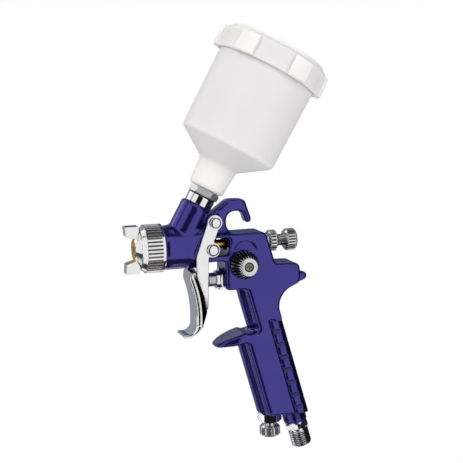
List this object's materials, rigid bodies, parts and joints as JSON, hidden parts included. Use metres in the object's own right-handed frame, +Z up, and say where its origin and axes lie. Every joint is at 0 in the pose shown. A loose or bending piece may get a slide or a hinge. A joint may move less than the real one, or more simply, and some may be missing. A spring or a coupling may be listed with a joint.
{
  "type": "gravity-feed spray gun",
  "caption": "Small gravity-feed spray gun: hooked cast body with raked grip, translucent paint cup on a tilted tube, horned air cap, two-cheek trigger and knurled control knobs.",
  "frame": {"origin": "centre of the air inlet's end face, at the foot of the grip", "axes": "+Z up, parallel to the cup's side of the gun; the needle lies along X with the air cap toward -X; Y across the gun, the fan knob on the -Y side"},
  "size_m": [0.1322, 0.0748, 0.2738],
  "materials": {
    "body_enamel": "gloss",
    "chrome": "polished",
    "satin_nickel": "satin",
    "steel": "satin",
    "brass": "satin",
    "cup_plastic": "satin",
    "white_packing": "matte",
    "black_seal": "matte"
  },
  "bodies": {
    "body": {"gun_body": "body_enamel", "air_baffle": "steel", "fluid_nozzle": "steel", "needle_packing": "white_packing", "packing_nut": "brass", "fluid_sleeve": "steel", "needle_spring": "steel", "trigger_pivot_pin": "chrome", "trigger_pivot_screw": "chrome", "air_valve_gland": "chrome", "air_valve_packing": "white_packing", "air_valve_spring": "steel", "fan_valve_bush": "chrome", "air_inlet_nipple": "chrome", "air_control_bush": "chrome", "air_control_seal": "black_seal", "cup_socket": "chrome", "cup_seal": "black_seal"},
    "ring": {"retaining_ring": "chrome"},
    "air_cap": {"air_cap": "chrome", "cap_snap_ring": "steel"},
    "needle": {"fluid_needle": "steel", "needle_collar": "brass"},
    "lock_nut": {"fluid_lock_nut": "satin_nickel"},
    "fluid_control": {"fluid_knob": "satin_nickel"},
    "trigger": {"trigger": "chrome", "needle_stud": "steel", "stud_screw_near": "chrome", "stud_screw_far": "chrome"},
    "air_valve": {"air_valve_stem": "steel", "air_valve_seal": "black_seal"},
    "fan_control": {"fan_knob": "satin_nickel", "fan_valve_spindle": "steel", "fan_knob_screw": "steel"},
    "air_control": {"air_control_knob": "satin_nickel", "air_control_spindle": "steel"},
    "cup": {"cup": "cup_plastic", "cup_union": "chrome"},
    "lid": {"cup_lid": "cup_plastic"}
  },
  "joints": [
    {"name": "trigger_pull", "type": "hinge", "parent": "body", "child": "trigger", "pos_m": [-0.05852, 0, 0.15051], "axis": [0, -1, 0], "range_deg": [0, 6.5], "stiffness_Nm_per_rad": 1, "springref_deg": -0.86},
    {"name": "needle_slide", "type": "slide", "parent": "body", "child": "needle", "axis": [1, 0, 0], "range_m": [0, 0.002], "deforming": ["needle_spring"]},
    {"name": "air_valve_slide", "type": "slide", "parent": "body", "child": "air_valve", "axis": [1, 0, 0], "range_m": [0, 0.0044], "deforming": ["air_valve_spring"]},
    {"name": "air_cap_turn", "type": "hinge", "parent": "body", "child": "air_cap", "pos_m": [-0.10262, 0, 0.13521], "axis": [1, 0, 0], "continuous": true},
    {"name": "ring_turn", "type": "hinge", "parent": "body", "child": "ring", "pos_m": [-0.09562, 0, 0.13521], "axis": [-1, 0, 0], "range_deg": [0, 1440]},
    {"name": "fluid_knob_turn", "type": "hinge", "parent": "body", "child": "fluid_control", "pos_m": [-0.00562, 0, 0.13521], "axis": [1, 0, 0], "range_deg": [-1080, 1080]},
    {"name": "lock_nut_turn", "type": "hinge", "parent": "body", "child": "lock_nut", "pos_m": [-0.01662, 0, 0.13521], "axis": [1, 0, 0], "range_deg": [0, 1080]},
    {"name": "fan_knob_turn", "type": "hinge", "parent": "body", "child": "fan_control", "pos_m": [-0.04032, -0.018, 0.12301], "axis": [0, -1, 0], "range_deg": [0, 720]},
    {"name": "air_control_turn", "type": "hinge", "parent": "body", "child": "air_control", "pos_m": [-0.02182, 0, 0.01321], "axis": [0, 0, -1], "range_deg": [0, 1080]},
    {"name": "cup_lift", "type": "slide", "parent": "body", "child": "cup", "axis": [0.5, 0, 0.866], "range_m": [0, 0.03]},
    {"name": "lid_lift", "type": "slide", "parent": "cup", "child": "lid", "axis": [0.5, 0, 0.866], "range_m": [0, 0.03]}
  ],
  "couplings": [
    {"joint": "needle_slide", "follows": "trigger_pull", "m_per_rad": 0.0169},
    {"joint": "air_valve_slide", "follows": "trigger_pull", "m_per_rad": 0.0378}
  ]
}
